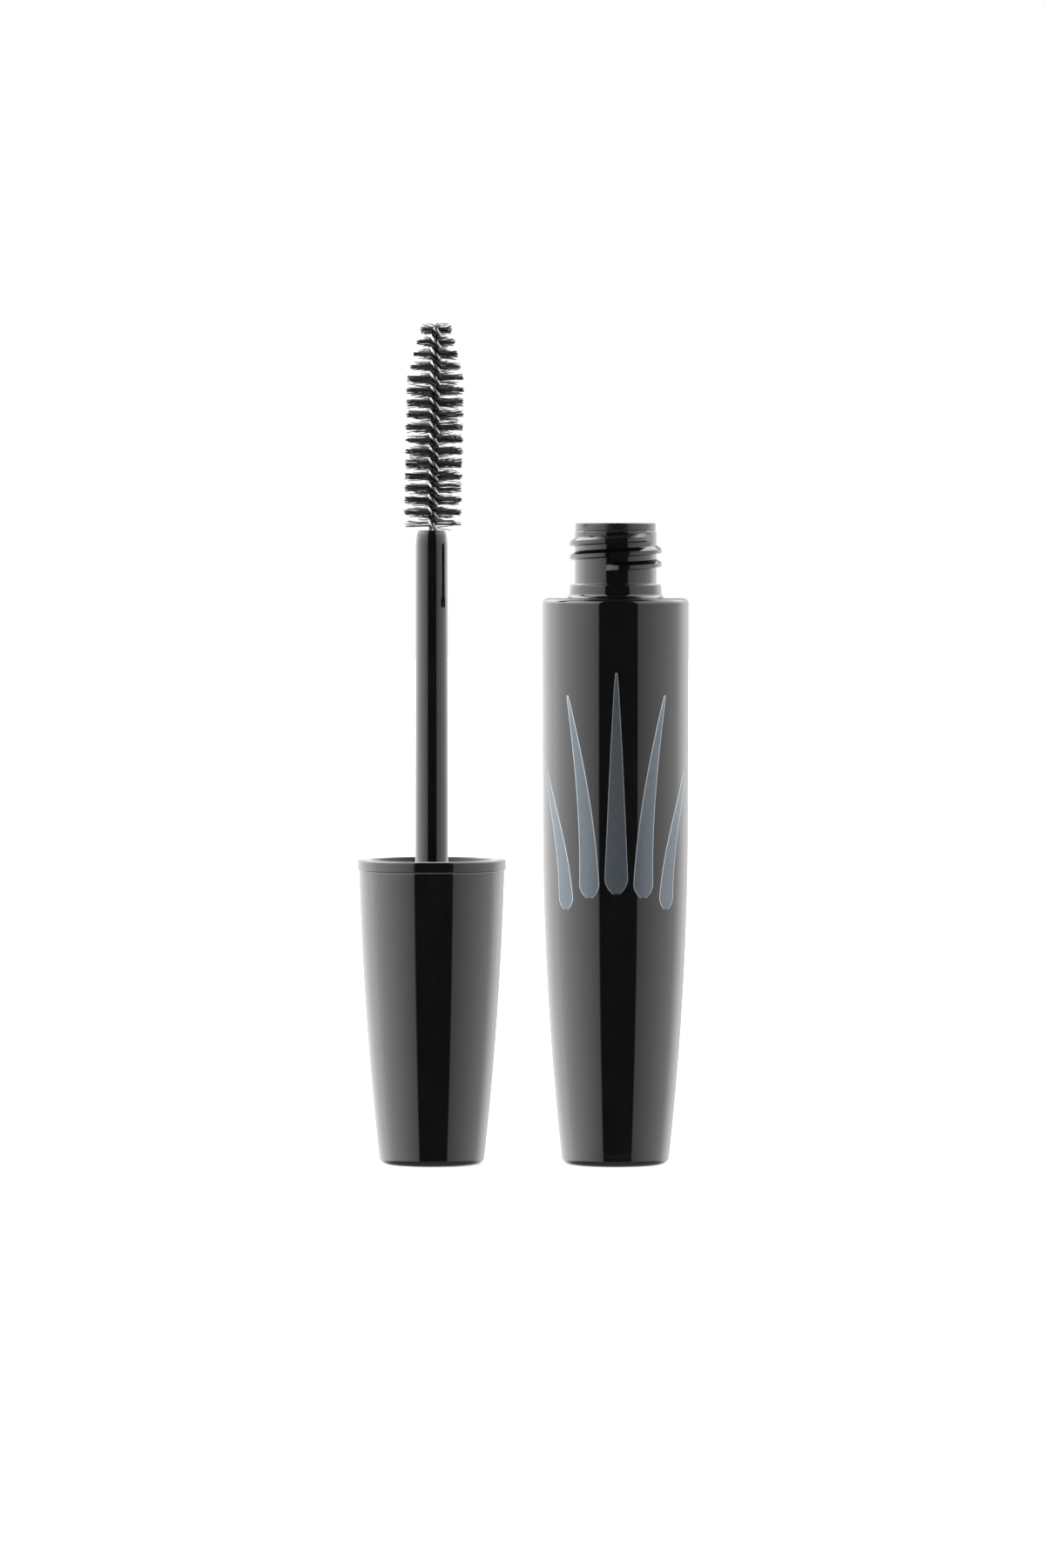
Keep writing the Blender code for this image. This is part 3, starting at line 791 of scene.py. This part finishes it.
def ink_blade(name, centre, half_width, steps, lift, material):
    """A thin film of ink on the bottle: centre(share) gives (arc length, height) along
    a stroke, and half_width(share) its half width."""
    shape = bmesh.new()
    across = 6
    top_rows, low_rows = [], []
    for i in range(steps + 1):
        share = i / steps
        here = Vector(centre(share))
        ahead = Vector(centre(min(1.0, share + 0.01))) - Vector(centre(max(0.0, share - 0.01)))
        normal = Vector((-ahead.y, ahead.x)).normalized()
        width = half_width(share)
        for rows, rise in ((top_rows, lift), (low_rows, -INK_SUNK)):
            row = []
            for j in range(across + 1):
                spot = here + normal * width * (2 * j / across - 1)
                radius = bottle_outer(spot.y)
                angle = FRONT + spot.x / radius
                reach = radius + rise
                row.append(shape.verts.new((reach * math.cos(angle), reach * math.sin(angle), spot.y)))
            rows.append(row)
    for rows in (top_rows, low_rows):
        for lower, upper in zip(rows, rows[1:]):
            for j in range(across):
                shape.faces.new((lower[j], lower[j + 1], upper[j + 1], upper[j]))
    for i in range(steps):
        for j in (0, across):
            shape.faces.new((top_rows[i][j], top_rows[i + 1][j], low_rows[i + 1][j], low_rows[i][j]))
    for i in (0, steps):
        for j in range(across):
            shape.faces.new((top_rows[i][j], top_rows[i][j + 1], low_rows[i][j + 1], low_rows[i][j]))
    blade = object_from(name, shape, material, 0.0)
    blade.data.set_sharp_from_angle(angle=math.radians(30))
    blade.visible_glossy = False
    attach(blade, "bottle")
    return blade


def make_print(ink, edge_ink):
    """A generic spray of curved lashes, wrapped round the front of the bottle."""
    for i in range(LASH_COUNT):
        side = 2 * i / (LASH_COUNT - 1) - 1
        reach = abs(side)
        root = (side * ROOT_SPREAD, ROOT_HEIGHT - ROOT_DROP * side * side)
        tip = (side * TIP_SPREAD, TIP_HEIGHT - TIP_DROP * reach ** 1.6)

        def centre(share, root=root, tip=tip):
            return (
                root[0] + (tip[0] - root[0]) * share ** 1.9,
                root[1] + (tip[1] - root[1]) * share)

        def width(share, reach=reach):
            base = min(1.0, (share + 0.003) / 0.06) ** 0.5
            return LASH_POINT + (LASH_HALF_WIDTH - LASH_THINNING * reach) * base * (1 - share) ** 0.8

        def edged(share, width=width):
            return width(share) + EDGE_WIDTH

        ink_blade(f"print_edge_{i + 1}", centre, edged, 60, 0.6 * INK_HEIGHT, edge_ink)
        ink_blade(f"print_lash_{i + 1}", centre, width, 60, INK_HEIGHT, ink)


# -------------------------------------------------------------------- stage


FRONT_DARK = 0.06
BEHIND_DARK = 0.08
OVERHEAD_LEVEL = 0.12
GROUND_LEVEL = 0.5
CAMERA_DISTANCE = 1.057
CAMERA_HEIGHT = 0.088
CAMERA_SIDE = -0.0128
CAMERA_PITCH = math.radians(-1.934)
SENSOR_WIDTH = 36.0
# What the camera's width takes in at the object, in metres
VIEW_WIDTH = 0.2157


def node(tree, kind, **values):
    """A new node with some of its settings."""
    made = tree.nodes.new(kind)
    for name, value in values.items():
        setattr(made, name, value)
    return made


def light_ring(tree, azimuth, stops, top):
    """Brightness round the horizon: degrees from the front, + to the right, and level."""
    ring = node(tree, "ShaderNodeValToRGB")
    elements = ring.color_ramp.elements
    while len(elements) < len(stops):
        elements.new(0.5)
    for element, (degrees, level) in zip(elements, stops):
        element.position = (degrees + 180) / 360
        element.color = (level / top, level / top, level / top, 1.0)
    tree.links.new(azimuth, ring.inputs["Fac"])
    return ring.outputs["Color"]


def make_studio():
    """White ground, tall soft boxes left and right, and a dark front between them. The
    camera sees plain white, and the gloss sees the boxes."""
    world = bpy.data.worlds.new("studio")
    bpy.context.scene.world = world
    world.use_nodes = True
    tree = world.node_tree
    background = tree.nodes["Background"]
    coords = node(tree, "ShaderNodeTexCoord")
    split = node(tree, "ShaderNodeSeparateXYZ")
    tree.links.new(coords.outputs["Generated"], split.inputs["Vector"])
    back = node(tree, "ShaderNodeMath", operation="MULTIPLY")
    back.inputs[1].default_value = -1.0
    tree.links.new(split.outputs["Y"], back.inputs[0])
    azimuth = node(tree, "ShaderNodeMath", operation="ARCTAN2")
    tree.links.new(split.outputs["X"], azimuth.inputs[0])
    tree.links.new(back.outputs["Value"], azimuth.inputs[1])
    share = node(tree, "ShaderNodeMapRange")
    share.inputs["From Min"].default_value = -math.pi
    share.inputs["From Max"].default_value = math.pi
    tree.links.new(azimuth.outputs["Value"], share.inputs["Value"])
    low_ring = [
        (-180, 1.1), (-165, 1.65), (-135, 3.3), (-110, 4.3), (-95, 3.8), (-70, 3.0), (-45, 2.0),
        (-27.2, 1.3), (-26.5, FRONT_DARK), (34.5, FRONT_DARK), (35.2, 1.0), (55, 1.45), (80, 2.0),
        (96, 2.25), (108, 2.3), (125, 3.0), (142, 2.6), (152, 1.8), (180, 1.0)]
    high_ring = [
        (-180, BEHIND_DARK), (-168, BEHIND_DARK), (-164, 3.4), (-135, 7.2), (-100, 8.6), (-70, 6.6),
        (-45, 4.4), (-27.2, 2.8), (-26.5, FRONT_DARK), (34.5, FRONT_DARK), (35.2, 2.2), (55, 3.2),
        (80, 4.4), (110, 5.2), (135, 6.0), (160, 3.2), (165, BEHIND_DARK), (180, BEHIND_DARK)]
    top = max(level for _, level in low_ring + high_ring)
    # The boxes are brighter towards their tops
    upper = node(tree, "ShaderNodeMapRange", interpolation_type="SMOOTHSTEP")
    upper.inputs["From Min"].default_value = 0.08
    upper.inputs["From Max"].default_value = 0.55
    tree.links.new(split.outputs["Z"], upper.inputs["Value"])
    rings = node(tree, "ShaderNodeMix", data_type="RGBA")
    tree.links.new(upper.outputs["Result"], rings.inputs["Factor"])
    tree.links.new(light_ring(tree, share.outputs["Result"], low_ring, top), rings.inputs["A"])
    tree.links.new(light_ring(tree, share.outputs["Result"], high_ring, top), rings.inputs["B"])
    # Straight up and straight down the ring fades into plain levels
    upward = node(tree, "ShaderNodeMapRange", interpolation_type="SMOOTHSTEP")
    upward.inputs["From Min"].default_value = 0.76
    upward.inputs["From Max"].default_value = 0.93
    tree.links.new(split.outputs["Z"], upward.inputs["Value"])
    with_top = node(tree, "ShaderNodeMix", data_type="RGBA")
    overhead = OVERHEAD_LEVEL / top
    with_top.inputs["B"].default_value = (overhead, overhead, overhead, 1.0)
    tree.links.new(upward.outputs["Result"], with_top.inputs["Factor"])
    tree.links.new(rings.outputs["Result"], with_top.inputs["A"])
    downward = node(tree, "ShaderNodeMapRange", interpolation_type="SMOOTHSTEP")
    downward.inputs["From Min"].default_value = -0.25
    downward.inputs["From Max"].default_value = -0.6
    tree.links.new(split.outputs["Z"], downward.inputs["Value"])
    with_ground = node(tree, "ShaderNodeMix", data_type="RGBA")
    ground = GROUND_LEVEL / top
    with_ground.inputs["B"].default_value = (ground, ground, 0.96 * ground, 1.0)
    tree.links.new(downward.outputs["Result"], with_ground.inputs["Factor"])
    tree.links.new(with_top.outputs["Result"], with_ground.inputs["A"])
    tree.links.new(with_ground.outputs["Result"], background.inputs["Color"])
    background.inputs["Strength"].default_value = top
    plain = node(tree, "ShaderNodeBackground")
    plain.inputs["Color"].default_value = (1.0, 1.0, 1.0, 1.0)
    plain.inputs["Strength"].default_value = 1.0
    path = node(tree, "ShaderNodeLightPath")
    choice = node(tree, "ShaderNodeMixShader")
    tree.links.new(path.outputs["Is Camera Ray"], choice.inputs["Fac"])
    tree.links.new(background.outputs["Background"], choice.inputs[1])
    tree.links.new(plain.outputs["Background"], choice.inputs[2])
    tree.links.new(choice.outputs["Shader"], tree.nodes["World Output"].inputs["Surface"])


def make_floor():
    """A wide pale disc just under the object."""
    shape = bmesh.new()
    bmesh.ops.create_circle(shape, cap_ends=True, segments=96, radius=4.0)
    material = new_material("pale_floor", 0.9, Emission_Color=(1.0, 1.0, 1.0, 1.0), Emission_Strength=0.4)
    add_colours(material, add_noise(material, 3.0), (0.9, 0.9, 0.9), (0.94, 0.94, 0.94))
    floor = object_from("floor", shape, material, 0.0)
    floor.location.z = -0.02 * MM
    floor.visible_glossy = False


def make_camera():
    """In front of the object and above its middle, looking a little down."""
    data = bpy.data.cameras.new("camera")
    camera = bpy.data.objects.new("camera", data)
    bpy.context.scene.collection.objects.link(camera)
    data.sensor_width = SENSOR_WIDTH
    data.lens = SENSOR_WIDTH * CAMERA_DISTANCE / VIEW_WIDTH
    data.clip_end = 50.0
    camera.location = (CAMERA_SIDE, -CAMERA_DISTANCE, CAMERA_HEIGHT)
    camera.rotation_euler = (math.radians(90) + CAMERA_PITCH, 0.0, 0.0)
    bpy.context.scene.camera = camera


def main():
    black = gloss_black("black_moulding")
    stem_black = gloss_black("black_rod", 0.06)
    liner_black = gloss_black("black_liner", 0.07)
    make_neck(black)
    make_body(black)
    make_wiper(soft_plastic("wiper_moulding"))
    make_overcap(black)
    make_liner(liner_black)
    make_seal(foam_rubber("washer_foam"))
    make_stem(stem_black)
    make_wire(drawn_wire("bright_wire"))
    make_bristles(nylon_fibre("nylon"))
    ink = metallic_ink("slate_ink", (0.062, 0.074, 0.085), (0.096, 0.11, 0.124))
    edge_ink = metallic_ink("pale_ink", (0.2, 0.22, 0.235), (0.3, 0.32, 0.335))
    make_print(ink, edge_ink)
    make_studio()
    make_floor()
    make_camera()
    bpy.context.scene.view_settings.view_transform = "Standard"


main()
